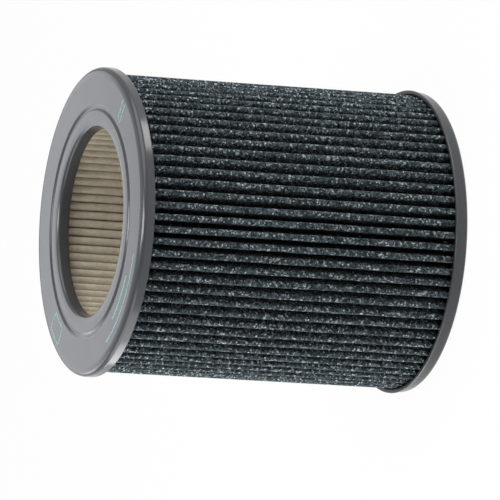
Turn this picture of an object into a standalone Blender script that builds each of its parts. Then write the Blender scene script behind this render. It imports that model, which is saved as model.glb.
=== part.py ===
"""Cartridge of a round air purifier: a ring of folded carbon cloth and fine media between two end caps.

The cartridge stands on its closed end. The origin is at the centre of the underside and Z points up
along the axis, towards the open end. All sizes are in metres.
"""
import math

import bmesh
import bpy

# Overall sizes
FLANGE_RADIUS = 0.0900          # open end cap, the widest piece
FILTER_LENGTH = 0.2015          # underside of the closed cap to the flange's face
PLEAT_DEPTH = 0.0274            # outermost to innermost points of the folded pack
CLEARANCE = 0.0003              # between two pieces that touch in the real cartridge
TURN_STEPS = 60                 # facets around each turned piece

# Folded pack: two layers folded together
CLOTH_THICKNESS = 0.0010
LAYER_GAP = 0.00035
MEDIA_THICKNESS = 0.00045
OUTER_FOLD_RADIUS = 0.00015     # inside radius of the two layers at an outer tip
INNER_FOLD_RADIUS = 0.00045     # inside radius of the two layers at an inner tip
PLEAT_SPACE = 0.00058           # between two pleats, where they are closest
FIRST_TIP_ANGLE = math.radians(3.53)
PACK_TO_RIM = 0.0010            # pack's tips to the inner side of the flange's rim

# Open end cap
CAP_WALL = 0.0020               # thickness of the moulded caps
RIM_WALL = 0.0024
FLANGE_DEPTH = 0.0073           # flange's face to the lower edge of its rim
FLANGE_EDGE_ROUND = 0.0028
FLANGE_CROWN = 0.0200           # large radius that leads from the face into the edge's rounding
FLANGE_CROWN_TILT = math.radians(10.0)
COLLAR_TO_PACK = 0.0019         # collar's foot to the pack's inner points
COLLAR_DEPTH = 0.0071           # flange's face to the collar's lower edge
COLLAR_WALL = 0.0019
COLLAR_TAPER = 0.0008           # how much narrower the mouth is at the collar's lower edge
MOUTH_EDGE_ROUND = 0.0016
MOUTH_CROWN = 0.0450            # large radius that leads from the face into the mouth's rounding
MOUTH_CROWN_TILT = math.radians(5.0)
GROOVE_TO_MOUTH = 0.0114        # mouth to the middle of the groove around it
GROOVE_WIDTH = 0.0040           # at the face
GROOVE_FLOOR = 0.0014           # at its bottom
GROOVE_DEPTH = 0.0007

# Closed end cap
BASE_RIM_WALL = 0.0015
BASE_TO_PACK = 0.0005           # rim's inner side to the pack's tips
BASE_DEPTH = 0.0080             # underside to the top of the lip
BASE_EDGE_ROUND = 0.0028
LIP_OVERHANG = 0.0008
LIP_DEPTH = 0.0013
DAM_TO_PACK = 0.0012            # low rib that keeps the adhesive in its channel
DAM_HEIGHT = 0.0060
DAM_WALL = 0.0018
DRAFT = 0.0004                  # slope of a moulded rib from foot to top

# Adhesive beds
BED_DEPTH = 0.0020

# Radii that follow, from the flange inwards
SHEET = CLOTH_THICKNESS + LAYER_GAP + MEDIA_THICKNESS
OUTER_TIP_RADIUS = OUTER_FOLD_RADIUS + SHEET    # half the width of a pleat at its outer tip
INNER_TIP_RADIUS = INNER_FOLD_RADIUS + SHEET
PACK_RADIUS = FLANGE_RADIUS - RIM_WALL - PACK_TO_RIM
PACK_BORE_RADIUS = PACK_RADIUS - PLEAT_DEPTH
MOUTH_RADIUS_TOP = PACK_BORE_RADIUS - COLLAR_TO_PACK - CAP_WALL
MOUTH_RADIUS_LOW = MOUTH_RADIUS_TOP - COLLAR_TAPER
GROOVE_RADIUS = MOUTH_RADIUS_TOP + GROOVE_TO_MOUTH
BASE_RADIUS = PACK_RADIUS + BASE_TO_PACK + BASE_RIM_WALL
LIP_RADIUS = BASE_RADIUS + LIP_OVERHANG
DAM_RADIUS = PACK_BORE_RADIUS - DAM_TO_PACK

# As many pleats as go round the bore
INNER_TIP_CENTER = PACK_BORE_RADIUS + INNER_TIP_RADIUS
OUTER_TIP_CENTER = PACK_RADIUS - OUTER_TIP_RADIUS
PLEAT_COUNT = round(2.0 * math.pi * INNER_TIP_CENTER / (2.0 * INNER_TIP_RADIUS + PLEAT_SPACE))

# Colours, linear
CAP_COLOR = (0.100, 0.103, 0.109, 1.0)
CARBON_COLOR = (0.030, 0.038, 0.041, 1.0)
MEDIA_COLOR = (0.560, 0.510, 0.410, 1.0)
ADHESIVE_COLOR = (0.620, 0.600, 0.540, 1.0)


def clear_scene():
    """Remove what a new file holds."""
    for obj in list(bpy.data.objects):
        bpy.data.objects.remove(obj, do_unlink=True)
    for collection in list(bpy.data.collections):
        bpy.data.collections.remove(collection)


def new_material(name, color, roughness):
    """A Principled material of one colour."""
    material = bpy.data.materials.new(name)
    material.use_nodes = True
    shader = material.node_tree.nodes["Principled BSDF"]
    shader.inputs["Base Color"].default_value = color
    shader.inputs["Roughness"].default_value = roughness
    material.diffuse_color = color
    return material


def arc(center, radius, start, end, segments):
    """Points on an arc, angles in degrees, both ends included."""
    points = []
    for i in range(segments + 1):
        angle = math.radians(start + (end - start) * i / segments)
        points.append((center[0] + radius * math.cos(angle), center[1] + radius * math.sin(angle)))
    return points


def turned(name, profile, closed, material, collection):
    """Turn a profile of (radius, height) points around Z. It runs down its outer side."""
    mesh = bpy.data.meshes.new(name)
    bm = bmesh.new()
    verts = [bm.verts.new((radius, 0.0, height)) for radius, height in profile]
    for a, b in zip(verts, verts[1:]):
        bm.edges.new((a, b))
    if closed:
        bm.edges.new((verts[-1], verts[0]))
    bm.to_mesh(mesh)
    bm.free()
    obj = bpy.data.objects.new(name, mesh)
    collection.objects.link(obj)
    screw = obj.modifiers.new("Turn", 'SCREW')
    screw.axis = 'Z'
    screw.angle = 2.0 * math.pi
    screw.steps = TURN_STEPS
    screw.render_steps = TURN_STEPS
    screw.use_merge_vertices = True
    screw.merge_threshold = 0.00001
    screw.use_smooth_shade = True
    mesh.materials.append(material)
    return obj


def fold_line(outer_radius, inner_radius, outer_segments, inner_segments):
    """One face of the folded sheet all the way round, as a closed list of points.

    Every face shares the same tip centres. A face turns around the outer ones at one radius and
    around the inner ones at another, and its legs are the lines that touch both arcs.
    """
    half_pitch = math.pi / PLEAT_COUNT
    # Direction of a leg, seen from the outer tip's centre line
    across = INNER_TIP_CENTER * math.sin(half_pitch)
    along = OUTER_TIP_CENTER - INNER_TIP_CENTER * math.cos(half_pitch)
    span = math.hypot(across, along)
    lean = math.atan2(across, along) - math.asin((outer_radius + inner_radius) / span)
    points = []
    for k in range(PLEAT_COUNT):
        tip = FIRST_TIP_ANGLE + 2.0 * half_pitch * k
        turn = math.pi / 2.0 + lean
        for i in range(outer_segments + 1):
            angle = tip - turn + 2.0 * turn * i / outer_segments
            points.append((OUTER_TIP_CENTER * math.cos(tip) + outer_radius * math.cos(angle),
                           OUTER_TIP_CENTER * math.sin(tip) + outer_radius * math.sin(angle)))
        root = tip + half_pitch
        turn = math.pi / 2.0 + lean - half_pitch
        for i in range(inner_segments + 1):
            angle = root + math.pi + turn - 2.0 * turn * i / inner_segments
            points.append((INNER_TIP_CENTER * math.cos(root) + inner_radius * math.cos(angle),
                           INNER_TIP_CENTER * math.sin(root) + inner_radius * math.sin(angle)))
    return points


def pleated_layer(name, outer_face, inner_face, low, high, material, collection):
    """A folded sheet between two fold lines, standing from low to high."""
    curve = bpy.data.curves.new(name, 'CURVE')
    curve.dimensions = '2D'
    curve.fill_mode = 'BOTH'
    curve.extrude = (high - low) / 2.0
    for line in (outer_face, inner_face):
        spline = curve.splines.new('POLY')
        spline.points.add(len(line) - 1)
        for point, (x, y) in zip(spline.points, line):
            point.co = (x, y, 0.0, 1.0)
        spline.use_cyclic_u = True
    curve.materials.append(material)
    obj = bpy.data.objects.new(name, curve)
    obj.location.z = (high + low) / 2.0
    collection.objects.link(obj)
    return obj


def crowned_edge(crown, tilt, rounding):
    """An edge that leaves the flat on a large radius and turns down on a small one.

    Returns (distance in from the wall, drop below the flat) from the wall to the flat.
    """
    crown_drop = crown * (1.0 - math.cos(tilt))
    points = []
    for i in range(3):
        slope = math.pi / 2.0 + (tilt - math.pi / 2.0) * i / 2.0
        points.append((rounding * (1.0 - math.sin(slope)),
                       crown_drop + rounding * (math.cos(tilt) - math.cos(slope))))
    points.append((rounding * (1.0 - math.sin(tilt)) + crown * math.sin(tilt), 0.0))
    return points


def open_cap_profile():
    """Section of the open end cap: mouth, groove, flange, rim and the channel below."""
    face = FILTER_LENGTH
    rim_low = face - FLANGE_DEPTH
    roof = face - CAP_WALL
    collar_low = face - COLLAR_DEPTH
    mouth = [(MOUTH_RADIUS_TOP + inset, face - drop)
             for inset, drop in crowned_edge(MOUTH_CROWN, MOUTH_CROWN_TILT, MOUTH_EDGE_ROUND)]
    groove = [(GROOVE_RADIUS - GROOVE_WIDTH / 2.0, face),
              (GROOVE_RADIUS - GROOVE_FLOOR / 2.0, face - GROOVE_DEPTH),
              (GROOVE_RADIUS + GROOVE_FLOOR / 2.0, face - GROOVE_DEPTH),
              (GROOVE_RADIUS + GROOVE_WIDTH / 2.0, face)]
    edge = [(FLANGE_RADIUS - inset, face - drop)
            for inset, drop in reversed(crowned_edge(FLANGE_CROWN, FLANGE_CROWN_TILT, FLANGE_EDGE_ROUND))]
    channel = [(FLANGE_RADIUS, rim_low),
               (FLANGE_RADIUS - RIM_WALL, rim_low),
               (FLANGE_RADIUS - RIM_WALL, roof),
               (MOUTH_RADIUS_TOP + CAP_WALL, roof),
               (MOUTH_RADIUS_LOW + COLLAR_WALL, collar_low),
               (MOUTH_RADIUS_LOW, collar_low)]
    return mouth + groove + edge + channel


def closed_cap_profile():
    """Section of the closed end cap, from its floor at the axis out over the lip to the underside."""
    inside = BASE_RADIUS - BASE_RIM_WALL
    dam_in = DAM_RADIUS - DAM_WALL
    floor = [(0.0, CAP_WALL),
             (dam_in - DRAFT, CAP_WALL),
             (dam_in, DAM_HEIGHT),
             (DAM_RADIUS - DRAFT, DAM_HEIGHT),
             (DAM_RADIUS, CAP_WALL),
             (inside, CAP_WALL),
             (inside, BASE_DEPTH)]
    lip_half = LIP_DEPTH / 2.0
    lip = arc((LIP_RADIUS - lip_half, BASE_DEPTH - lip_half), lip_half, 90.0, -90.0, 2)
    wall = [(BASE_RADIUS, BASE_DEPTH - LIP_DEPTH)]
    edge = arc((BASE_RADIUS - BASE_EDGE_ROUND, BASE_EDGE_ROUND), BASE_EDGE_ROUND, 0.0, -90.0, 2)
    return floor + lip + wall + edge + [(0.0, 0.0)]


def bed_profile(inner, outer, low):
    """Section of a flat ring of adhesive."""
    return [(inner, low + BED_DEPTH), (outer, low + BED_DEPTH), (outer, low), (inner, low)]


def build():
    """Make every piece of the cartridge."""
    clear_scene()
    collection = bpy.data.collections.new("Air purifier filter")
    bpy.context.scene.collection.children.link(collection)

    cap_open = new_material("Open cap plastic", CAP_COLOR, 0.42)
    cap_closed = new_material("Closed cap plastic", CAP_COLOR, 0.45)
    carbon = new_material("Carbon cloth", CARBON_COLOR, 0.90)
    media = new_material("Fine media", MEDIA_COLOR, 0.85)
    adhesive_up = new_material("Upper adhesive", ADHESIVE_COLOR, 0.60)
    adhesive_low = new_material("Lower adhesive", ADHESIVE_COLOR, 0.60)

    turned("open_end_cap", open_cap_profile(), True, cap_open, collection)
    turned("closed_end_cap", closed_cap_profile(), False, cap_closed, collection)

    # Each bed fills its cap's channel, less the clearance
    bed_up_low = FILTER_LENGTH - CAP_WALL - CLEARANCE - BED_DEPTH
    turned("upper_adhesive_bed",
           bed_profile(MOUTH_RADIUS_TOP + CAP_WALL + CLEARANCE,
                       FLANGE_RADIUS - RIM_WALL - CLEARANCE, bed_up_low),
           True, adhesive_up, collection)
    bed_low_low = CAP_WALL + CLEARANCE
    turned("lower_adhesive_bed",
           bed_profile(DAM_RADIUS + CLEARANCE,
                       BASE_RADIUS - BASE_RIM_WALL - CLEARANCE, bed_low_low),
           True, adhesive_low, collection)

    # The pack stands between the beds
    pack_low = bed_low_low + BED_DEPTH + CLEARANCE
    pack_high = bed_up_low - CLEARANCE
    media_at = CLOTH_THICKNESS + LAYER_GAP
    cloth_out = fold_line(OUTER_TIP_RADIUS, INNER_FOLD_RADIUS, 3, 1)
    cloth_in = fold_line(OUTER_TIP_RADIUS - CLOTH_THICKNESS, INNER_FOLD_RADIUS + CLOTH_THICKNESS, 2, 2)
    media_out = fold_line(OUTER_TIP_RADIUS - media_at, INNER_FOLD_RADIUS + media_at, 2, 2)
    media_in = fold_line(OUTER_FOLD_RADIUS, INNER_TIP_RADIUS, 1, 3)
    pleated_layer("carbon_pleats", cloth_out, cloth_in, pack_low, pack_high, carbon, collection)
    pleated_layer("fine_media_pleats", media_out, media_in, pack_low, pack_high, media, collection)


build()
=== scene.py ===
"""Round air purifier cartridge: end caps, folded filter pack, printed lines, stage and camera."""

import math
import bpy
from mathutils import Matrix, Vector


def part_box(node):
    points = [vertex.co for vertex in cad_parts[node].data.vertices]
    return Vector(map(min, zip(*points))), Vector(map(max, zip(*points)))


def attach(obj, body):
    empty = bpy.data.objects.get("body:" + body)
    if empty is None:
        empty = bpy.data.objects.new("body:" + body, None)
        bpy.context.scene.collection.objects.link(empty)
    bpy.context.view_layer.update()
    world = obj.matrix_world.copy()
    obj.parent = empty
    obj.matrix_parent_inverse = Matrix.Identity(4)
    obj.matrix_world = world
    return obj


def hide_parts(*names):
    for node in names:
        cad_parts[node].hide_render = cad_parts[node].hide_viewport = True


bl_info = {
    "name": "Air Purifier Cartridge",
    "version": (1, 0, 0),
    "blender": (4, 5, 0),
    "location": "View3D > Sidebar > Cartridge",
    "description": "Models a pleated air purifier cartridge on its packed frame",
    "category": "Add Mesh",
}

from collections import namedtuple

import bmesh
import bpy
from bpy.props import FloatProperty, FloatVectorProperty, IntProperty, PointerProperty
from mathutils import Matrix, Vector, noise

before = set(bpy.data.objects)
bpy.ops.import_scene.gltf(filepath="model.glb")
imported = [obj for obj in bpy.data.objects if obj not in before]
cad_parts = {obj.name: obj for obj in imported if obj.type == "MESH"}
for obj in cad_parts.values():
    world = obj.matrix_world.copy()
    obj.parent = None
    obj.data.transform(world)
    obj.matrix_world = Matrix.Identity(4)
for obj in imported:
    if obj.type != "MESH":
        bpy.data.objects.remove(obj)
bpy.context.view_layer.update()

# Each box is its low corner and its high one
CAP_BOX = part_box("open_end_cap")
BASE_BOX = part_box("closed_end_cap")
PACK_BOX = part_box("carbon_pleats")

ORIGIN = (0.0, 0.0, 0.0)
UPWARDS = (0.0, 0.0, 1.0)
FULL_TURN = 2.0 * math.pi

# Points of a turned profile this close together are welded
WELD = 0.00001
# Points this close to a corner, or to the next pleat's edge, belong to it
NEAR = 0.00002

# Flat ring kept beside a rounded edge, so that smooth shading leaves the flat face flat
HOLD = 0.0003
# Share of its room that a crowned edge's rounding takes, so that two of them never meet
ROUND_SHARE = 0.98
# Facets across the crown and across the rounding of each crowned edge, and across the base's
MOUTH_FACETS = (6, 8)
FLANGE_FACETS = (5, 9)
BASE_FACETS = 8

# Roundings of the caps' smaller edges
Rounding = namedtuple("Rounding", "width facets")
GROOVE_EDGE = Rounding(0.0007, 4)
GROOVE_BOTTOM = Rounding(0.0003, 3)
RIM_OUTSIDE = Rounding(0.0004, 3)
RIM_INSIDE = Rounding(0.0004, 2)
COLLAR_EDGE = Rounding(0.0005, 3)
LIP_TOP = Rounding(0.0006, 4)
LIP_UNDERSIDE = Rounding(0.0005, 3)
LIP_ROOT = Rounding(0.00025, 2)
WALL_INSIDE = Rounding(0.0004, 2)
DAM_EDGE = Rounding(0.0005, 3)
# How far each side of the dam leans in over its height
DAM_DRAFT = 0.0004

# Height at which the ink starts above the face, and the inner long line's weight
INK_LIFT = 0.00001
INNER_ARC_WEIGHT = 1.6
# Where the printed lines lie, in degrees round the axis
INNER_ARC_SPAN = (-138.0, -113.5)
OUTER_ARC_SPAN = (-149.0, -102.0)
SHORT_LINES = (-32.0, -35.0)
FRAME_SPAN = (139.0, 151.0)
# How much farther out than the short lines the printed frame starts
FRAME_INSET = 0.0015
# Degrees that one facet of a printed arc covers
ARC_STEP = 2.0

# Depths below the outer tips for the cloth's painted shade in its folds: the cloth is darkest from
# the first inwards, and keeps its plain colour from the second outwards
FOLD_SHADE = (0.0024, 0.0003)
# Distances outside the bore for the adhesive's painted shade: it starts to darken at the first and
# is black from the second outwards
BED_SHADE_SPAN = (0.0020, 0.0100)

# What the lamps are aimed at: the middle of the cartridge or the middle of its face
MIDDLE = (0.0, 0.0, 0.10)
FACE = (0.0, 0.0, 0.20)
WHITE = (1.0, 1.0, 1.0)
COOL = (0.93, 0.96, 1.0)
# Each lamp's name, place, aim, width, height, radiance and tint
LAMPS = (
    ("left_softbox", (-0.38, 0.09, 0.08), MIDDLE, 0.19, 0.15, 4.7, WHITE),
    ("left_fill", (-0.436, -0.12, 0.08), MIDDLE, 0.22, 0.15, 2.1, WHITE),
    ("right_softbox", (0.41, -0.20, 0.055), MIDDLE, 0.18, 0.09, 7.2, WHITE),
    ("top_softbox", (0.0, -0.04, 1.10), FACE, 0.20, 0.88, 9.6, WHITE),
    ("back_card", (-0.09, 0.42, 0.340), FACE, 0.50, 0.125, 1.22, COOL),
    ("corner_card", (-0.247, 0.407, 0.415), FACE, 0.14, 0.20, 1.8, COOL),
    ("front_softbox", (1.06, -0.26, 1.10), MIDDLE, 1.5, 1.5, 2.00, WHITE),
    ("front_fill", (-1.11, -0.16, 0.50), MIDDLE, 1.5, 0.9, 2.25, WHITE),
)
# Half the floor's width, its grey, and how much of it shows as plain white to the camera
FLOOR_REACH = 8.0
FLOOR_GREY = (0.80, 0.80, 0.80)
FLOOR_WHITE = 0.97
# The world's dim light on things
WORLD_LIGHT = (0.10, 0.10, 0.105)


def length(name, description, default):
    """A size in metres that a user may change."""
    return FloatProperty(name=name, description=description, default=default, min=0.0,
                         subtype='DISTANCE', unit='LENGTH', precision=4)


def turning(name, description, degrees):
    """An angle that a user may change, given in degrees."""
    return FloatProperty(name=name, description=description, default=math.radians(degrees),
                         subtype='ANGLE', unit='ROTATION')


def colour(name, description, default):
    """A linear colour that a user may change."""
    return FloatVectorProperty(name=name, description=description, default=default, size=3,
                               subtype='COLOR', min=0.0, max=1.0)


class CapSizes(bpy.types.PropertyGroup):
    """Sizes of the two moulded end caps"""
    flange_radius: length("Flange radius", "Outer radius of the open cap", CAP_BOX[1][0])
    face: length("Face", "Height of the flange's face", CAP_BOX[1][2])
    rim_depth: length("Rim depth", "Flange's face to the rim's lower edge", 0.0073)
    flange_round: length("Flange rounding", "Radius along the flange's outer edge", 0.0028)
    flange_crown: length("Flange crown", "Large radius between the face and that rounding", 0.0200)
    flange_tilt: turning("Flange tilt", "Slope at which the flange's crown ends", 10.0)
    rim_wall: length("Rim wall", "Thickness of the flange's rim", 0.0024)
    wall: length("Wall", "Thickness of the moulded plastic", 0.0020)
    mouth_top: length("Mouth radius, top", "Radius of the mouth at its edge", 0.0553)
    mouth_low: length("Mouth radius, bottom", "Radius at the collar's lower edge", 0.0545)
    mouth_round: length("Mouth rounding", "Radius along the mouth's edge", 0.0016)
    mouth_crown: length("Mouth crown", "Large radius between the face and that rounding", 0.0450)
    mouth_tilt: turning("Mouth tilt", "Slope at which the mouth's crown ends", 5.0)
    collar_depth: length("Collar depth", "Flange's face to the collar's lower edge", 0.0071)
    collar_wall: length("Collar wall", "Thickness of the collar at its lower edge", 0.0019)
    groove_radius: length("Groove radius", "Middle of the groove around the mouth", 0.0662)
    groove_width: length("Groove width", "Width of the groove at the face", 0.0034)
    groove_floor: length("Groove floor", "Width of the groove at its bottom", 0.0008)
    groove_depth: length("Groove depth", "Depth of the groove", 0.0007)
    base_radius: length("Base radius", "Outer radius of the closed cap's wall", 0.0886)
    base_round: length("Base rounding", "Radius along the closed cap's lower edge", 0.0028)
    base_wall: length("Base wall", "Thickness of the closed cap's rim", 0.0015)
    lip_radius: length("Lip radius", "Outer radius of the closed cap's lip", 0.0894)
    lip_depth: length("Lip depth", "Height of the lip's bead", 0.0013)
    dam_radius: length("Dam radius", "Outer radius of the rib inside the closed cap", 0.0580)
    dam_wall: length("Dam wall", "Thickness of that rib", 0.0018)
    dam_height: length("Dam height", "Height of that rib's top", 0.0060)
    steps: IntProperty(name="Steps", description="Facets around each cap", default=192, min=24)


class PackSizes(bpy.types.PropertyGroup):
    """Sizes of the folded pack"""
    count: IntProperty(name="Pleats", description="Number of pleats", default=76, min=8)
    radius: length("Pack radius", "Radius over the outer tips", 0.0866)
    bore: length("Pack bore", "Radius inside the inner tips", 0.0592)
    low: length("Pack bottom", "Height of the pack's lower end", PACK_BOX[0][2])
    high: length("Pack top", "Height of the pack's upper end", PACK_BOX[1][2])
    cloth: length("Cloth thickness", "Thickness of the carbon cloth", 0.0010)
    gap: length("Layer gap", "Space between the two layers", 0.00035)
    media: length("Media thickness", "Thickness of the fine media", 0.00045)
    outer_fold: length("Outer fold", "Inside radius of the sheet at an outer tip", 0.00015)
    inner_fold: length("Inner fold", "Inside radius of the sheet at an inner tip", 0.00045)
    first: turning("First tip", "Angle of the first outer tip", 3.53)
    sway: length("Sway", "How far the folds wander from straight", 0.00030)


class Finishes(bpy.types.PropertyGroup):
    """Colours of the finishes"""
    plastic: colour("Cap plastic", "Moulded grey plastic", (0.061, 0.064, 0.070))
    cloth_dark: colour("Cloth, dark", "Carbon cloth between the grains", (0.0045, 0.0085, 0.0105))
    cloth_mid: colour("Cloth, mid", "Carbon cloth on the grains", (0.108, 0.144, 0.160))
    fleck: colour("Flecks", "Pale fibres and grains on the cloth", (0.80, 0.89, 0.93))
    media: colour("Fine media", "Beige filter paper", (0.82, 0.752, 0.625))
    adhesive: colour("Adhesive", "Cured potting adhesive", (0.62, 0.60, 0.54))
    ink: colour("Ink", "Printed lines on the flange", (0.25, 0.53, 0.52))


class MarkSizes(bpy.types.PropertyGroup):
    """Plain lines printed on the flange"""
    line: length("Line width", "Width of a printed line", 0.00075)
    layer: length("Layer", "Thickness of the ink", 0.00003)
    inner_arc: length("Inner arc", "Radius of the inner long line", 0.0739)
    outer_arc: length("Outer arc", "Radius of the outer long line", 0.0800)
    near: length("Near end", "Radius at which the straight lines start", 0.0705)
    far: length("Far end", "Radius at which the straight lines end", 0.0835)


class StageSizes(bpy.types.PropertyGroup):
    """Place and lens of the camera"""
    distance: length("Camera distance", "Camera to the point it looks at", 4.3284)
    elevation: turning("Elevation", "Height of the camera's line of sight", 20.972)
    roll: turning("Roll", "Lean of the cartridge in the picture", 3.665)
    aim_side: FloatProperty(name="Aim, side", description="Aim point right of the axis",
                            default=-0.01048, unit='LENGTH')
    aim_up: FloatProperty(name="Aim, up", default=0.09409, unit='LENGTH',
                          description="Aim point above the base, across the line of sight")
    lens: FloatProperty(name="Lens", description="Focal length in millimetres", default=528.6,
                        min=1.0)


# Shader node helpers

def add_node(tree, kind, **values):
    """A shader node, with its settings and unlinked inputs set by name."""
    node = tree.nodes.new(kind)
    for key, value in values.items():
        if hasattr(node, key):
            setattr(node, key, value)
        else:
            node.inputs[key.replace("_", " ")].default_value = value
    return node


def start_material(name, base, roughness):
    """A Principled material and its tree, shader and Object coordinates."""
    material = bpy.data.materials.new(name)
    material.use_nodes = True
    tree = material.node_tree
    shader = tree.nodes["Principled BSDF"]
    shader.inputs["Base Color"].default_value = (*base, 1.0)
    shader.inputs["Roughness"].default_value = roughness
    coords = tree.nodes.new("ShaderNodeTexCoord")
    return material, tree, shader, coords.outputs["Object"]


def noise_value(tree, coords, scale, detail=2.0, roughness=0.5, distortion=0.0):
    """A noise pattern's value, from 0 to 1."""
    node = tree.nodes.new("ShaderNodeTexNoise")
    tree.links.new(coords, node.inputs["Vector"])
    node.inputs["Scale"].default_value = scale
    node.inputs["Detail"].default_value = detail
    node.inputs["Roughness"].default_value = roughness
    node.inputs["Distortion"].default_value = distortion
    return node.outputs["Fac"]


def spread(tree, value, low, high, to_low=0.0, to_high=1.0):
    """Maps a value's range low..high to to_low..to_high, smoothly and clamped."""
    node = tree.nodes.new("ShaderNodeMapRange")
    node.interpolation_type = 'SMOOTHSTEP'
    tree.links.new(value, node.inputs["Value"])
    node.inputs["From Min"].default_value = low
    node.inputs["From Max"].default_value = high
    node.inputs["To Min"].default_value = to_low
    node.inputs["To Max"].default_value = to_high
    return node.outputs["Result"]


def calc(tree, operation, a, b):
    """A Math node on two sockets or numbers."""
    node = tree.nodes.new("ShaderNodeMath")
    node.operation = operation
    for socket, value in zip(node.inputs, (a, b)):
        if isinstance(value, (int, float)):
            socket.default_value = value
        else:
            tree.links.new(value, socket)
    return node.outputs[0]


def blend_colour(tree, factor, a, b):
    """Mixes two colours, each a socket or a linear triple."""
    node = tree.nodes.new("ShaderNodeMix")
    node.data_type = 'RGBA'
    tree.links.new(factor, node.inputs[0])
    for socket, value in zip((node.inputs[6], node.inputs[7]), (a, b)):
        if isinstance(value, tuple):
            socket.default_value = (*value, 1.0)
        else:
            tree.links.new(value, socket)
    return node.outputs[2]


def relief(tree, shader, height, distance, strength):
    """Drives the shader's normal from a height."""
    node = tree.nodes.new("ShaderNodeBump")
    node.inputs["Strength"].default_value = strength
    node.inputs["Distance"].default_value = distance
    tree.links.new(height, node.inputs["Height"])
    tree.links.new(node.outputs["Normal"], shader.inputs["Normal"])


def axis_distance(tree, coords):
    """Distance from the cartridge's axis."""
    flat = add_node(tree, "ShaderNodeVectorMath", operation='MULTIPLY')
    tree.links.new(coords, flat.inputs[0])
    flat.inputs[1].default_value = (1.0, 1.0, 0.0)
    size = add_node(tree, "ShaderNodeVectorMath", operation='LENGTH')
    tree.links.new(flat.outputs[0], size.inputs[0])
    return size.outputs["Value"]


def seen_directly(tree):
    """1 for a ray from the camera, a reflection or a clear piece, and 0 for light on things."""
    path = tree.nodes.new("ShaderNodeLightPath")
    mirrored = calc(tree, 'MAXIMUM', path.outputs["Is Glossy Ray"],
                    path.outputs["Is Transmission Ray"])
    return calc(tree, 'MAXIMUM', path.outputs["Is Camera Ray"], mirrored)


def scaled(base, factor):
    """A colour made lighter or darker."""
    return tuple(min(1.0, channel * factor) for channel in base)


# Finishes

def cap_plastic(base):
    """Satin moulded plastic with a fine spark-eroded grain."""
    material, tree, shader, coords = start_material("Cap plastic", base, roughness=0.20)
    darker, lighter = scaled(base, 0.96), scaled(base, 1.05)
    cloud = spread(tree, noise_value(tree, coords, scale=28.0, detail=3.0), low=0.3, high=0.7)
    tree.links.new(blend_colour(tree, cloud, darker, lighter), shader.inputs["Base Color"])
    polish = noise_value(tree, coords, scale=70.0, detail=4.0)
    tree.links.new(spread(tree, polish, low=0.25, high=0.75, to_low=0.18, to_high=0.21),
                   shader.inputs["Roughness"])
    grain = noise_value(tree, coords, scale=1500.0)
    relief(tree, shader, grain, distance=0.00002, strength=0.02)
    return material


def curled_fibres(tree, coords, scale, width, seed, share):
    """Short curled lines: where one noise crosses its middle, kept only in patches of another.

    The width is how far from the noise's middle a line reaches. A larger share keeps more of them.
    """
    core = width * 0.35
    patch_scale = scale * 1.35
    patch_low, patch_high = 0.62 - share, 0.68 - share * 0.7
    shift = tree.nodes.new("ShaderNodeMapping")
    shift.inputs["Location"].default_value = (seed, seed * 0.7, -seed)
    tree.links.new(coords, shift.inputs["Vector"])
    place = shift.outputs["Vector"]
    wave = noise_value(tree, place, scale, detail=1.0, roughness=0.4, distortion=0.6)
    off_middle = calc(tree, 'ABSOLUTE', calc(tree, 'SUBTRACT', wave, 0.5), 0.0)
    line = spread(tree, off_middle, low=core, high=width, to_low=1.0, to_high=0.0)
    patch = noise_value(tree, place, patch_scale, detail=0.0)
    return calc(tree, 'MULTIPLY', line, spread(tree, patch, low=patch_low, high=patch_high))


def pale_grains(tree, coords):
    """Small round grains in a few of a Voronoi pattern's cells."""
    cells = tree.nodes.new("ShaderNodeTexVoronoi")
    tree.links.new(coords, cells.inputs["Vector"])
    cells.inputs["Scale"].default_value = 720.0
    split = tree.nodes.new("ShaderNodeSeparateColor")
    tree.links.new(cells.outputs["Color"], split.inputs[0])
    chosen = spread(tree, split.outputs[0], low=0.78, high=0.98)
    dot = spread(tree, cells.outputs["Distance"], low=0.22, high=0.55, to_low=1.0, to_high=0.0)
    return calc(tree, 'MULTIPLY', chosen, dot)


def carbon_cloth(dark, mid, fleck, fold):
    """Non-woven cloth of curled fibres and pale grains, with painted shade that makes it darker
    inwards between a fold's radii.
    """
    material, tree, shader, coords = start_material("Carbon cloth", dark, roughness=0.80)
    shader.inputs["Specular IOR Level"].default_value = 0.20
    felt_weight, clump_weight, curl_weight = 0.62, 0.48, 0.55
    fleck_strength, fleck_height = 0.80, 0.5
    # Painted shade: towards the folds' depths the cloth is blended into a darker copy of its dark
    # colour
    fold_strength, fold_shade_colour = 0.40, scaled(dark, 0.3)
    clump = spread(tree, noise_value(tree, coords, scale=380.0, detail=4.0, roughness=0.65),
                   low=0.34, high=0.72)
    felt = calc(tree, 'MAXIMUM',
                curled_fibres(tree, coords, scale=360.0, width=0.110, seed=0.0, share=0.12),
                curled_fibres(tree, coords, scale=470.0, width=0.120, seed=0.37, share=0.10))
    nap = calc(tree, 'ADD', calc(tree, 'MULTIPLY', felt, felt_weight),
               calc(tree, 'MULTIPLY', clump, clump_weight))
    base = blend_colour(tree, nap, dark, mid)
    curl = curled_fibres(tree, coords, scale=420.0, width=0.090, seed=0.81, share=0.03)
    pale = calc(tree, 'MAXIMUM', pale_grains(tree, coords),
                calc(tree, 'MULTIPLY', curl, curl_weight))
    flecked = blend_colour(tree, calc(tree, 'MULTIPLY', pale, fleck_strength), base, fleck)
    fold_shade_mask = spread(tree, axis_distance(tree, coords), *fold, to_low=fold_strength, to_high=0.0)
    tree.links.new(blend_colour(tree, fold_shade_mask, flecked, fold_shade_colour), shader.inputs["Base Color"])
    height = calc(tree, 'ADD', nap, calc(tree, 'MULTIPLY', pale, fleck_height))
    relief(tree, shader, height, distance=0.0006, strength=0.7)
    return material


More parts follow.
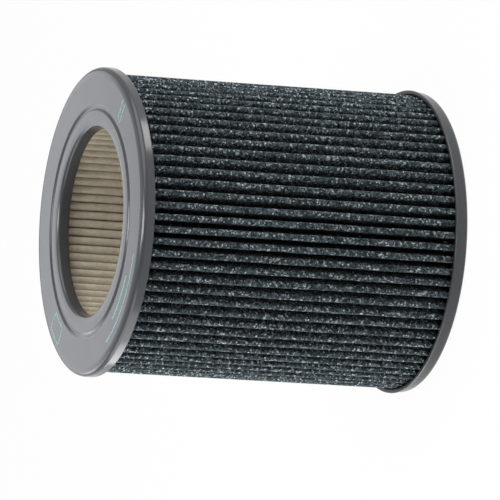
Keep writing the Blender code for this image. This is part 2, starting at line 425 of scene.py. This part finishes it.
def filter_paper(base):
    """Beige filter paper with short fibres along the fold."""
    material, tree, shader, coords = start_material("Fine media", base, roughness=0.78)
    shader.inputs["Specular IOR Level"].default_value = 0.3
    darker, lighter = scaled(base, 0.84), scaled(base, 1.12)
    fibre_weight, cloud_weight = 0.55, 0.45
    squash = tree.nodes.new("ShaderNodeMapping")
    squash.inputs["Scale"].default_value = (1.0, 1.0, 0.28)
    tree.links.new(coords, squash.inputs["Vector"])
    fibre = noise_value(tree, squash.outputs["Vector"], scale=1500.0, detail=3.0, roughness=0.6)
    cloud = noise_value(tree, coords, scale=160.0, detail=3.0)
    shade = calc(tree, 'ADD', calc(tree, 'MULTIPLY', fibre, fibre_weight),
                 calc(tree, 'MULTIPLY', cloud, cloud_weight))
    shade = spread(tree, shade, low=0.32, high=0.68)
    tree.links.new(blend_colour(tree, shade, darker, lighter), shader.inputs["Base Color"])
    relief(tree, shader, fibre, distance=0.00018, strength=0.5)
    return material


def cured_adhesive(base, bed_shade_span):
    """Cast adhesive with a slightly wavy skin, and painted shade that blackens it outwards between
    two radii.
    """
    material, tree, shader, coords = start_material("Adhesive", base, roughness=0.45)
    # Painted shade: outwards from the bore the bed is blended into black
    darker, lighter, black = scaled(base, 0.9), scaled(base, 1.05), scaled(base, 0.02)
    ripple = noise_value(tree, coords, scale=90.0, detail=3.0)
    unshaded_adhesive = blend_colour(tree, ripple, darker, lighter)
    bed_shade_mask = spread(tree, axis_distance(tree, coords), *bed_shade_span)
    tree.links.new(blend_colour(tree, bed_shade_mask, unshaded_adhesive, black), shader.inputs["Base Color"])
    relief(tree, shader, ripple, distance=0.0006, strength=0.4)
    return material


def pad_ink(base, plastic):
    """Thin printed ink, worn so that the plastic shows through."""
    material, tree, shader, coords = start_material("Printed ink", base, roughness=0.45)
    bare = scaled(plastic, 1.05)
    speckle = noise_value(tree, coords, scale=1300.0, detail=3.0, roughness=0.7)
    worn = spread(tree, speckle, low=0.50, high=0.70)
    tree.links.new(blend_colour(tree, worn, base, bare), shader.inputs["Base Color"])
    relief(tree, shader, worn, distance=0.00003, strength=0.3)
    return material


# Modelling helpers

def settle(name, bm, material, smooth_angle=40.0, recalc=True):
    """Writes a bmesh to a new object at the origin that rides on the body.

    Edges sharper than the smooth angle stay sharp, and with an angle of 0 none does.
    """
    if recalc:
        bmesh.ops.recalc_face_normals(bm, faces=bm.faces[:])
    mesh = bpy.data.meshes.new(name)
    bm.to_mesh(mesh)
    bm.free()
    mesh.shade_smooth()
    if smooth_angle:
        mesh.set_sharp_from_angle(angle=math.radians(smooth_angle))
    mesh.materials.append(material)
    piece = bpy.data.objects.new(name, mesh)
    bpy.context.scene.collection.objects.link(piece)
    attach(piece, "root")
    return piece


def turn_profile(profile, steps, closed):
    """Spins a profile of (radius, height) corners round the axis into a bmesh."""
    bm = bmesh.new()
    verts = [bm.verts.new((radius, 0.0, height)) for radius, height in profile]
    edges = [bm.edges.new(pair) for pair in zip(verts, verts[1:])]
    if closed:
        edges.append(bm.edges.new((verts[-1], verts[0])))
    bmesh.ops.spin(bm, geom=verts + edges, cent=ORIGIN, axis=UPWARDS, angle=FULL_TURN,
                   steps=steps, use_merge=True)
    bmesh.ops.remove_doubles(bm, verts=bm.verts[:], dist=WELD)
    bmesh.ops.recalc_face_normals(bm, faces=bm.faces[:])
    return bm


def round_corner(bm, radius, height, width, facets):
    """Bevels the ring edge that runs round the axis at a corner of the profile."""
    def on_ring(vert):
        return (abs(math.hypot(vert.co.x, vert.co.y) - radius) < NEAR
                and abs(vert.co.z - height) < NEAR)
    ring = [edge for edge in bm.edges if on_ring(edge.verts[0]) and on_ring(edge.verts[1])]
    if not ring:
        raise RuntimeError(f"no ring edge at radius {radius:.4f}, height {height:.4f}")
    bmesh.ops.bevel(bm, geom=ring, offset=width, offset_type='OFFSET', segments=facets,
                    profile=0.5, affect='EDGES', material=-1, clamp_overlap=True)


# A crowned edge's two corners: the first lies on the face, this far in from the wall, and the
# second on the wall, this far below the face. Each is then rounded by a bevel of its own width.
CrownedEdge = namedtuple("CrownedEdge", "inset face_width drop wall_width")


def crowned_edge(crown, tilt, rounding):
    """The corners of an edge that leaves the face gently and then turns down to the wall."""
    reach = rounding * (1.0 - math.sin(tilt)) + crown * math.sin(tilt)
    face_width = crown * math.tan(tilt / 2.0)
    inset = reach - face_width
    wall_width = rounding * math.tan((math.pi / 2.0 - tilt) / 2.0)
    return CrownedEdge(inset, face_width * ROUND_SHARE, inset * math.tan(tilt),
                       wall_width * ROUND_SHARE)


def points_between(start, end, steps):
    """The points that divide a straight line into equal steps, without its ends."""
    return [(start[0] + (end[0] - start[0]) * i / steps,
             start[1] + (end[1] - start[1]) * i / steps) for i in range(1, steps)]


def fold_path(pack, outer_radius, inner_radius, tip_steps, leg_steps, root_steps):
    """One pleat of a face of the folded sheet, from the root before it to the root after it."""
    sheet = pack.cloth + pack.gap + pack.media
    outer_centre = pack.radius - pack.outer_fold - sheet
    inner_centre = pack.bore + pack.inner_fold + sheet
    half = math.pi / pack.count
    across = inner_centre * math.sin(half)
    along = outer_centre - inner_centre * math.cos(half)
    lean = (math.atan2(across, along)
            - math.asin((outer_radius + inner_radius) / math.hypot(across, along)))
    turn = math.pi / 2.0 + lean
    root_turn = math.pi / 2.0 + lean - half

    def round_tip(angle):
        return (outer_centre + outer_radius * math.cos(angle), outer_radius * math.sin(angle))

    def round_root(angle):
        centre = (inner_centre * math.cos(half), inner_centre * math.sin(half))
        return (centre[0] + inner_radius * math.cos(half + math.pi + angle),
                centre[1] + inner_radius * math.sin(half + math.pi + angle))

    tip = [round_tip(-turn + 2.0 * turn * i / tip_steps) for i in range(tip_steps + 1)]
    root = [round_root(root_turn - 2.0 * root_turn * i / root_steps)
            for i in range(root_steps + 1)]
    one_back = Matrix.Rotation(-2.0 * half, 2)
    root_before = [tuple(one_back @ Vector(point)) for point in root]
    leg_before = points_between(root_before[-1], tip[0], leg_steps)
    leg = points_between(tip[-1], root[0], leg_steps)
    middle = root_steps // 2
    return root_before[middle:] + leg_before + tip + leg + root[:middle + 1]


def folded_sheet(pack, outer_radius, inner_radius, tip_steps, leg_steps, root_steps, levels):
    """The folded sheet's face all the way round, swaying a little, as a bmesh."""
    path = fold_path(pack, outer_radius, inner_radius, tip_steps, leg_steps, root_steps)
    bm = bmesh.new()
    verts = [bm.verts.new((x, y, pack.low)) for x, y in path]
    edges = [bm.edges.new(pair) for pair in zip(verts, verts[1:])]
    rise = (pack.high - pack.low) / levels
    for _ in range(levels):
        grown = bmesh.ops.extrude_edge_only(bm, edges=edges)["geom"]
        edges = [item for item in grown if isinstance(item, bmesh.types.BMEdge)]
        upper = [item for item in grown if isinstance(item, bmesh.types.BMVert)]
        bmesh.ops.translate(bm, verts=upper, vec=(0.0, 0.0, rise))
    bmesh.ops.rotate(bm, verts=bm.verts[:], cent=ORIGIN,
                     matrix=Matrix.Rotation(pack.first, 3, 'Z'))
    pleat = bm.verts[:] + bm.edges[:] + bm.faces[:]
    bmesh.ops.spin(bm, geom=pleat, cent=ORIGIN, axis=UPWARDS, use_duplicate=True,
                   angle=FULL_TURN * (pack.count - 1) / pack.count, steps=pack.count - 1)
    bmesh.ops.remove_doubles(bm, verts=bm.verts[:], dist=NEAR)
    bmesh.ops.recalc_face_normals(bm, faces=bm.faces[:])
    sway_folds(bm, pack)
    return bm


def sway_folds(bm, pack):
    """Moves each fold a little round the axis and in or out, the same way for both layers."""
    # How fast each noise changes round the axis and with height, and where the last two start
    slow_round, slow_rise = 4.5, 14.0
    quick_round, quick_rise, quick_start = 12.0, 45.0, 7.0
    out_round, out_rise, out_start = 2.5, 9.0, 31.0
    # How much of the sway each noise gives, and how close to its ends the pack is still held
    slow_share, quick_share, out_share = 1.5, 0.9, 0.6
    held_ends = 0.35
    span = pack.high - pack.low
    for vert in bm.verts:
        x, y, z = vert.co
        radius = math.hypot(x, y)
        angle = math.atan2(y, x)
        free = max(0.0, math.sin(math.pi * (z - pack.low) / span)) ** held_ends
        spot = Vector((math.cos(angle) * slow_round, math.sin(angle) * slow_round,
                       z * slow_rise))
        slow = noise.noise(spot)
        quick = noise.noise(Vector((math.cos(angle) * quick_round, math.sin(angle) * quick_round,
                                    z * quick_rise + quick_start)))
        side = (pack.sway * (slow_share * slow + quick_share * quick) * free
                * (radius / pack.radius) ** 2)
        out = pack.sway * out_share * noise.noise(
            Vector((spot.x * out_round, spot.y * out_round, z * out_rise + out_start)))
        angle += side / radius
        radius += out * free
        vert.co.x = radius * math.cos(angle)
        vert.co.y = radius * math.sin(angle)


def thicken(piece, thickness):
    """Gives a sheet its thickness, half to each side."""
    solid = piece.modifiers.new("Thickness", 'SOLIDIFY')
    solid.thickness = thickness
    solid.offset = 0.0


# Operators

class CARTRIDGE_OT_open_cap(bpy.types.Operator):
    """Turn the open end cap: its crowned flange, its groove, the rounded mouth and the collar"""
    bl_idname = "cartridge.open_cap"
    bl_label = "Open end cap"

    def execute(self, context):
        cap = context.scene.cartridge_caps
        face = cap.face
        roof = face - cap.wall
        rim_low = face - cap.rim_depth
        collar_low = face - cap.collar_depth
        collar_out = cap.mouth_low + cap.collar_wall
        rim_in = cap.flange_radius - cap.rim_wall
        mouth = crowned_edge(cap.mouth_crown, cap.mouth_tilt, cap.mouth_round)
        edge = crowned_edge(cap.flange_crown, cap.flange_tilt, cap.flange_round)
        mouth_in = cap.mouth_top + mouth.inset
        edge_in = cap.flange_radius - edge.inset
        groove_in = cap.groove_radius - cap.groove_width / 2.0
        groove_out = cap.groove_radius + cap.groove_width / 2.0
        bottom_in = cap.groove_radius - cap.groove_floor / 2.0
        bottom_out = cap.groove_radius + cap.groove_floor / 2.0
        bottom = face - cap.groove_depth
        profile = [(cap.mouth_top, face - mouth.drop), (mouth_in, face),
                   (mouth_in + mouth.face_width + HOLD, face),
                   (groove_in - GROOVE_EDGE.width - HOLD, face), (groove_in, face),
                   (bottom_in, bottom), (bottom_out, bottom), (groove_out, face),
                   (groove_out + GROOVE_EDGE.width + HOLD, face)]
        profile += [(edge_in - edge.face_width - HOLD, face), (edge_in, face),
                    (cap.flange_radius, face - edge.drop),
                    (cap.flange_radius, face - edge.drop - edge.wall_width - HOLD),
                    (cap.flange_radius, rim_low + RIM_OUTSIDE.width + HOLD),
                    (cap.flange_radius, rim_low)]
        profile += [(rim_in, rim_low), (rim_in, roof), (cap.mouth_top + cap.wall, roof),
                    (collar_out, collar_low), (cap.mouth_low, collar_low)]
        bm = turn_profile(profile, cap.steps, closed=True)
        round_corner(bm, mouth_in, face, mouth.face_width, MOUTH_FACETS[0])
        round_corner(bm, cap.mouth_top, face - mouth.drop, mouth.wall_width, MOUTH_FACETS[1])
        round_corner(bm, edge_in, face, edge.face_width, FLANGE_FACETS[0])
        round_corner(bm, cap.flange_radius, face - edge.drop, edge.wall_width, FLANGE_FACETS[1])
        for radius in (groove_in, groove_out):
            round_corner(bm, radius, face, *GROOVE_EDGE)
        for radius in (bottom_in, bottom_out):
            round_corner(bm, radius, bottom, *GROOVE_BOTTOM)
        round_corner(bm, cap.flange_radius, rim_low, *RIM_OUTSIDE)
        round_corner(bm, rim_in, rim_low, *RIM_INSIDE)
        round_corner(bm, cap.mouth_low, collar_low, *COLLAR_EDGE)
        round_corner(bm, collar_out, collar_low, *COLLAR_EDGE)
        piece = settle("open_cap_moulding", bm, bpy.data.materials["Cap plastic"])
        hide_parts("open_end_cap")
        return {'FINISHED'}


class CARTRIDGE_OT_closed_cap(bpy.types.Operator):
    """Turn the closed end cap with its lip, rim, floor and inner rib"""
    bl_idname = "cartridge.closed_cap"
    bl_label = "Closed end cap"

    def execute(self, context):
        cap = context.scene.cartridge_caps
        top = BASE_BOX[1][2]
        wall_in = cap.base_radius - cap.base_wall
        dam_in = cap.dam_radius - cap.dam_wall
        lip_low = top - cap.lip_depth
        profile = [(0.0, cap.wall), (dam_in - DAM_DRAFT, cap.wall), (dam_in, cap.dam_height),
                   (cap.dam_radius - DAM_DRAFT, cap.dam_height), (cap.dam_radius, cap.wall),
                   (wall_in, cap.wall), (wall_in, top), (cap.lip_radius, top),
                   (cap.lip_radius, lip_low), (cap.base_radius, lip_low),
                   (cap.base_radius, lip_low - LIP_ROOT.width - HOLD),
                   (cap.base_radius, cap.base_round + HOLD), (cap.base_radius, 0.0),
                   (cap.base_radius - cap.base_round - HOLD, 0.0), (0.0, 0.0)]
        bm = turn_profile(profile, cap.steps, closed=False)
        round_corner(bm, cap.base_radius, 0.0, cap.base_round, BASE_FACETS)
        round_corner(bm, cap.lip_radius, top, *LIP_TOP)
        round_corner(bm, cap.lip_radius, lip_low, *LIP_UNDERSIDE)
        round_corner(bm, cap.base_radius, lip_low, *LIP_ROOT)
        round_corner(bm, wall_in, top, *WALL_INSIDE)
        round_corner(bm, dam_in, cap.dam_height, *DAM_EDGE)
        round_corner(bm, cap.dam_radius - DAM_DRAFT, cap.dam_height, *DAM_EDGE)
        piece = settle("closed_cap_moulding", bm, bpy.data.materials["Cap plastic"])
        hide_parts("closed_end_cap")
        return {'FINISHED'}


class CARTRIDGE_OT_carbon_cloth(bpy.types.Operator):
    """Fold the outer carbon cloth round the pack"""
    bl_idname = "cartridge.carbon_cloth"
    bl_label = "Carbon cloth"

    def execute(self, context):
        pack = context.scene.cartridge_pack
        outer = pack.outer_fold + pack.media + pack.gap + pack.cloth / 2.0
        inner = pack.inner_fold + pack.cloth / 2.0
        bm = folded_sheet(pack, outer, inner, tip_steps=8, leg_steps=2, root_steps=4, levels=40)
        area = sum(face.calc_area() for face in bm.faces)
        piece = settle("carbon_cloth_folds", bm, bpy.data.materials["Carbon cloth"],
                       smooth_angle=0.0, recalc=False)
        thicken(piece, pack.cloth)
        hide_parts("carbon_pleats")
        return {'FINISHED'}


class CARTRIDGE_OT_fine_media(bpy.types.Operator):
    """Fold the fine media inside the carbon cloth"""
    bl_idname = "cartridge.fine_media"
    bl_label = "Fine media"

    def execute(self, context):
        pack = context.scene.cartridge_pack
        outer = pack.outer_fold + pack.media / 2.0
        inner = pack.inner_fold + pack.cloth + pack.gap + pack.media / 2.0
        bm = folded_sheet(pack, outer, inner, tip_steps=2, leg_steps=2, root_steps=8, levels=32)
        area = sum(face.calc_area() for face in bm.faces)
        piece = settle("fine_media_folds", bm, bpy.data.materials["Fine media"],
                       smooth_angle=0.0, recalc=False)
        thicken(piece, pack.media)
        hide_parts("fine_media_pleats")
        return {'FINISHED'}


class CARTRIDGE_OT_adhesive(bpy.types.Operator):
    """Give the two adhesive beds their cast finish"""
    bl_idname = "cartridge.adhesive"
    bl_label = "Adhesive beds"

    def execute(self, context):
        finish = bpy.data.materials["Adhesive"]
        for node in ("upper_adhesive_bed", "lower_adhesive_bed"):
            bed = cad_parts[node]
            if bed.material_slots:
                for slot in bed.material_slots:
                    slot.material = finish
            else:
                bed.data.materials.append(finish)
        return {'FINISHED'}


class CARTRIDGE_OT_printed_lines(bpy.types.Operator):
    """Print plain lines on the flange: two long ones round it, two short ones and a frame"""
    bl_idname = "cartridge.printed_lines"
    bl_label = "Printed lines"

    def execute(self, context):
        cap, marks = context.scene.cartridge_caps, context.scene.cartridge_marks
        bm = bmesh.new()
        floor = cap.face + INK_LIFT
        half = marks.line / 2.0
        half_angle = math.degrees(marks.line / marks.outer_arc) / 2.0

        def band(low, high, start, end):
            """A band between two radii, from one angle to another, in degrees."""
            steps = max(1, round(abs(end - start) / ARC_STEP))
            verts = [bm.verts.new((radius, 0.0, floor)) for radius in (low, high)]
            edge = bm.edges.new(verts)
            bmesh.ops.rotate(bm, verts=verts, cent=ORIGIN,
                             matrix=Matrix.Rotation(math.radians(start), 3, 'Z'))
            bmesh.ops.spin(bm, geom=verts + [edge], cent=ORIGIN, axis=UPWARDS,
                           angle=math.radians(end - start), steps=steps, use_merge=False)

        heavy = half * INNER_ARC_WEIGHT
        band(marks.inner_arc - heavy, marks.inner_arc + heavy, *INNER_ARC_SPAN)
        band(marks.outer_arc - half, marks.outer_arc + half, *OUTER_ARC_SPAN)
        for angle in SHORT_LINES:
            band(marks.near, marks.far, angle - half_angle, angle + half_angle)
        frame_near = marks.near + FRAME_INSET
        for radius in (frame_near, marks.far):
            band(radius - half, radius + half, *FRAME_SPAN)
        for angle in FRAME_SPAN:
            band(frame_near, marks.far, angle - half_angle, angle + half_angle)
        bmesh.ops.recalc_face_normals(bm, faces=bm.faces[:])
        bmesh.ops.solidify(bm, geom=bm.faces[:], thickness=marks.layer)
        piece = settle("printed_lines", bm, bpy.data.materials["Printed ink"],
                       smooth_angle=30.0)
        return {'FINISHED'}


class CARTRIDGE_OT_finishes(bpy.types.Operator):
    """Make the finishes that the pieces wear"""
    bl_idname = "cartridge.finishes"
    bl_label = "Finishes"

    def execute(self, context):
        look, pack = context.scene.cartridge_finishes, context.scene.cartridge_pack
        fold = tuple(pack.radius - depth for depth in FOLD_SHADE)
        bed_shade_span = tuple(pack.bore + distance for distance in BED_SHADE_SPAN)
        cap_plastic(tuple(look.plastic))
        carbon_cloth(tuple(look.cloth_dark), tuple(look.cloth_mid), tuple(look.fleck), fold)
        filter_paper(tuple(look.media))
        cured_adhesive(tuple(look.adhesive), bed_shade_span)
        pad_ink(tuple(look.ink), tuple(look.plastic))
        return {'FINISHED'}


# Stage

def soft_lamp(name, place, target, width, height, radiance, tint):
    """An area lamp aimed at a point, as bright as its radiance says at any size."""
    data = bpy.data.lights.new(name, 'AREA')
    data.shape = 'RECTANGLE'
    data.size = width
    data.size_y = height
    data.energy = radiance * math.pi * width * height
    data.color = tint
    lamp = bpy.data.objects.new(name, data)
    lamp.location = place
    lamp.visible_camera = False
    aim = Vector(target) - Vector(place)
    lamp.rotation_euler = aim.to_track_quat('-Z', 'Y').to_euler()
    bpy.context.scene.collection.objects.link(lamp)


class CARTRIDGE_OT_stage(bpy.types.Operator):
    """Lay the pale floor and set the lamps and the camera"""
    bl_idname = "cartridge.stage"
    bl_label = "Stage"

    def execute(self, context):
        self.lay_floor()
        self.light_world(context.scene)
        for lamp in LAMPS:
            soft_lamp(*lamp)
        self.place_camera(context.scene)
        context.scene.view_settings.view_transform = 'Standard'
        return {'FINISHED'}

    def lay_floor(self):
        """A floor that shows near white and still takes the cartridge's shadow."""
        bm = bmesh.new()
        bmesh.ops.create_grid(bm, x_segments=1, y_segments=1, size=FLOOR_REACH)
        mesh = bpy.data.meshes.new("floor")
        bm.to_mesh(mesh)
        bm.free()
        floor = bpy.data.objects.new("floor", mesh)
        bpy.context.scene.collection.objects.link(floor)
        material = bpy.data.materials.new("Pale floor")
        material.use_nodes = True
        tree = material.node_tree
        shader = tree.nodes["Principled BSDF"]
        shader.inputs["Base Color"].default_value = (*FLOOR_GREY, 1.0)
        shader.inputs["Roughness"].default_value = 0.9
        shader.inputs["Specular IOR Level"].default_value = 0.0
        glow = add_node(tree, "ShaderNodeEmission", Strength=1.0)
        mix = tree.nodes.new("ShaderNodeMixShader")
        tree.links.new(calc(tree, 'MULTIPLY', seen_directly(tree), FLOOR_WHITE), mix.inputs[0])
        tree.links.new(shader.outputs[0], mix.inputs[1])
        tree.links.new(glow.outputs[0], mix.inputs[2])
        tree.links.new(mix.outputs[0], tree.nodes["Material Output"].inputs["Surface"])
        mesh.materials.append(material)

    def light_world(self, scene):
        """Dim light on things, and a grey that fades upwards where it is seen or mirrored."""
        world = bpy.data.worlds.new("Studio")
        scene.world = world
        world.use_nodes = True
        tree = world.node_tree
        dim = tree.nodes["Background"]
        dim.inputs["Color"].default_value = (*WORLD_LIGHT, 1.0)
        seen = add_node(tree, "ShaderNodeBackground", Strength=1.0)
        sky = tree.nodes.new("ShaderNodeTexCoord")
        parts = tree.nodes.new("ShaderNodeSeparateXYZ")
        tree.links.new(sky.outputs["Generated"], parts.inputs[0])
        grey = spread(tree, parts.outputs["Z"], low=0.30, high=0.80, to_low=0.50, to_high=0.27)
        tree.links.new(grey, seen.inputs["Color"])
        mix = tree.nodes.new("ShaderNodeMixShader")
        tree.links.new(seen_directly(tree), mix.inputs[0])
        tree.links.new(dim.outputs[0], mix.inputs[1])
        tree.links.new(seen.outputs[0], mix.inputs[2])
        tree.links.new(mix.outputs[0], tree.nodes["World Output"].inputs["Surface"])

    def place_camera(self, scene):
        """A long lens from the -Y side, turned so that the cartridge lies on its side."""
        stage = scene.cartridge_stage
        sight = Vector((0.0, math.cos(stage.elevation), -math.sin(stage.elevation)))
        right = Vector((1.0, 0.0, 0.0))
        up = right.cross(sight)
        side_axis = math.sin(stage.roll) * right - math.cos(stage.roll) * up
        top_axis = math.cos(stage.roll) * right + math.sin(stage.roll) * up
        target = stage.aim_side * right + stage.aim_up * up
        data = bpy.data.cameras.new("camera")
        data.sensor_width = 36.0
        data.lens = stage.lens
        data.clip_start = 0.1
        data.clip_end = 60.0
        camera = bpy.data.objects.new("camera", data)
        turn = Matrix((side_axis, top_axis, -sight)).transposed().to_4x4()
        camera.matrix_world = Matrix.Translation(target - stage.distance * sight) @ turn
        scene.collection.objects.link(camera)
        scene.camera = camera


class CARTRIDGE_PT_panel(bpy.types.Panel):
    """Lists the cartridge's pieces and sizes"""
    bl_idname = "CARTRIDGE_PT_panel"
    bl_label = "Cartridge"
    bl_space_type = 'VIEW_3D'
    bl_region_type = 'UI'
    bl_category = "Cartridge"

    def draw(self, context):
        for operator in STEPS:
            self.layout.operator(operator.bl_idname)
        for group, _ in GROUPS:
            settings = getattr(context.scene, group)
            box = self.layout.box()
            for key in settings.bl_rna.properties.keys():
                if key not in {"rna_type", "name"}:
                    box.prop(settings, key)


GROUPS = (("cartridge_caps", CapSizes), ("cartridge_pack", PackSizes),
          ("cartridge_marks", MarkSizes), ("cartridge_finishes", Finishes),
          ("cartridge_stage", StageSizes))
STEPS = (CARTRIDGE_OT_finishes, CARTRIDGE_OT_open_cap, CARTRIDGE_OT_closed_cap,
         CARTRIDGE_OT_carbon_cloth, CARTRIDGE_OT_fine_media, CARTRIDGE_OT_adhesive,
         CARTRIDGE_OT_printed_lines, CARTRIDGE_OT_stage)


def register():
    """Add the classes and the scene's settings."""
    for name, group in GROUPS:
        bpy.utils.register_class(group)
        setattr(bpy.types.Scene, name, PointerProperty(type=group))
    for item in STEPS + (CARTRIDGE_PT_panel,):
        bpy.utils.register_class(item)


def unregister():
    """Remove them again."""
    for item in reversed(STEPS + (CARTRIDGE_PT_panel,)):
        bpy.utils.unregister_class(item)
    for name, group in reversed(GROUPS):
        delattr(bpy.types.Scene, name)
        bpy.utils.unregister_class(group)


def main():
    """Make everything in order."""
    register()
    for item in STEPS:
        family, action = item.bl_idname.split(".")
        getattr(getattr(bpy.ops, family), action)()


if __name__ == "__main__":
    main()
